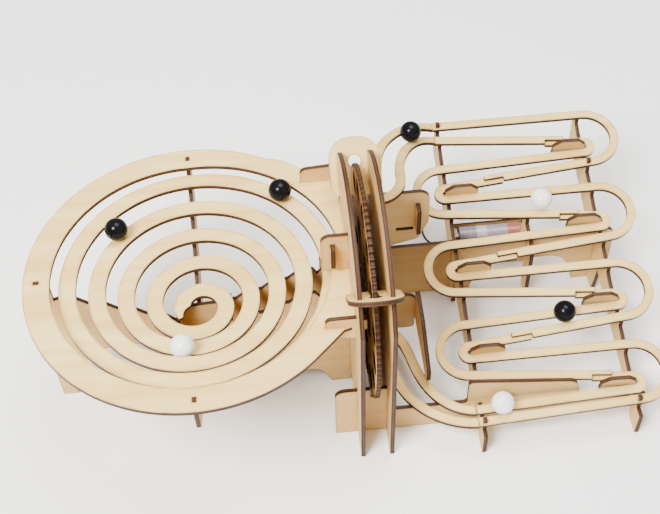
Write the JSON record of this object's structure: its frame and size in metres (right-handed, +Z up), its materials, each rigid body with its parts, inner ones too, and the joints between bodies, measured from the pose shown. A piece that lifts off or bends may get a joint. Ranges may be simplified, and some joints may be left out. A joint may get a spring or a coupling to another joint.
{
  "type": "marble run",
  "caption": "Plywood marble run: spiral bowl, toothed lifting wheel in a round-topped tower, and a sloping serpentine rail track on cross ribs, with marbles.",
  "frame": {"origin": "middle of the bounding box at table level", "axes": "+X from the spiral bowl towards the serpentine track, along the wheel axle; +Y to the rear; +Z up"},
  "size_m": [0.4376, 0.269, 0.189],
  "materials": {
    "plywood": "bare birch plywood with laser-burnt edges",
    "wheel_plywood": "bare birch plywood with laser-burnt teeth and pockets",
    "marble_black": "glossy opaque black glass",
    "marble_white": "glossy opaque white glass",
    "steel": "plain steel",
    "motor_can": "zinc-plated can",
    "pinion_plastic": "moulded white plastic",
    "cell_wrap": "shrink-wrapped dry cells",
    "contact_spring": "plated contact",
    "lead_sheath": "black flexible sheath"
  },
  "bodies": {
    "frame": {"base_board_front": "plywood", "base_board_rear": "plywood", "battery_box": "plywood", "battery_contacts": "contact_spring", "cell_1": "cell_wrap", "cell_2": "cell_wrap", "chute_floor": "plywood", "chute_wall_front": "plywood", "chute_wall_rear": "plywood", "exit_bracket": "plywood", "exit_rail_inner": "plywood", "exit_rail_outer": "plywood", "front_guide_plate": "plywood", "lead": "lead_sheath", "lock_keys": "plywood", "motor": "motor_can", "motor_plate": "plywood", "north_beam": "plywood", "rail_a1": "plywood", "rail_a2": "plywood", "rail_a3": "plywood", "rail_a4": "plywood", "rail_b1": "plywood", "rail_b2": "plywood", "rail_b3": "plywood", "rail_b4": "plywood", "rail_b5": "plywood", "rear_guide_plate": "plywood", "return_bracket": "plywood", "return_guard": "plywood", "rib_left": "plywood", "rib_middle": "plywood", "rib_right": "plywood", "ring_plate": "plywood", "south_beam": "plywood", "spiral_strip": "plywood", "start_rail_inner": "plywood", "start_rail_outer": "plywood", "start_wall": "plywood", "tower_plate_left": "plywood", "tower_plate_right": "plywood", "turn_plates_left": "plywood", "turn_plates_right": "plywood", "well_end_wall": "plywood", "west_rib": "plywood", "wing_bracket_front": "plywood", "wing_bracket_middle": "plywood"},
    "wheel": {"lift_wheel": "wheel_plywood", "hub_spacers": "plywood", "axle": "steel", "axle_collars": "steel"},
    "pinion": {"pinion": "pinion_plastic", "motor_shaft": "steel"},
    "marble_bowl_1": {"marble_bowl_1": "marble_black"},
    "marble_bowl_2": {"marble_bowl_2": "marble_black"},
    "marble_bowl_3": {"marble_bowl_3": "marble_white"},
    "marble_track_1": {"marble_track_1": "marble_black"},
    "marble_track_2": {"marble_track_2": "marble_white"},
    "marble_track_3": {"marble_track_3": "marble_black"},
    "marble_track_4": {"marble_track_4": "marble_white"}
  },
  "joints": [
    {"name": "wheel_spin", "type": "hinge", "parent": "frame", "child": "wheel", "pos_m": [0.00646, -0.0245, 0.101], "axis": [1, 0, 0], "continuous": true},
    {"name": "pinion_spin", "type": "hinge", "parent": "frame", "child": "pinion", "pos_m": [0.00646, 0.06133, 0.07311], "axis": [1, 0, 0], "continuous": true},
    {"name": "move_track_2", "type": "slide", "parent": "frame", "child": "marble_track_2", "axis": [1, 0, 0], "range_m": [0, 0.01]},
    {"name": "move_track_3", "type": "slide", "parent": "frame", "child": "marble_track_3", "axis": [-1, 0, 0], "range_m": [0, 0.02]},
    {"name": "move_track_4", "type": "slide", "parent": "frame", "child": "marble_track_4", "axis": [-1, 0, 0], "range_m": [0, 0.012]},
    {"name": "move_track_1", "type": "slide", "parent": "frame", "child": "marble_track_1", "axis": [0, 0, 1], "range_m": [0, 0.03]},
    {"name": "move_bowl_1", "type": "slide", "parent": "frame", "child": "marble_bowl_1", "axis": [0, 0, 1], "range_m": [0, 0.03]},
    {"name": "move_bowl_2", "type": "slide", "parent": "frame", "child": "marble_bowl_2", "axis": [0, 0, 1], "range_m": [0, 0.03]},
    {"name": "move_bowl_3", "type": "slide", "parent": "frame", "child": "marble_bowl_3", "axis": [0, 0, 1], "range_m": [0, 0.03]}
  ],
  "couplings": [
    {"joint": "pinion_spin", "follows": "wheel_spin", "ratio": -7.1429}
  ]
}
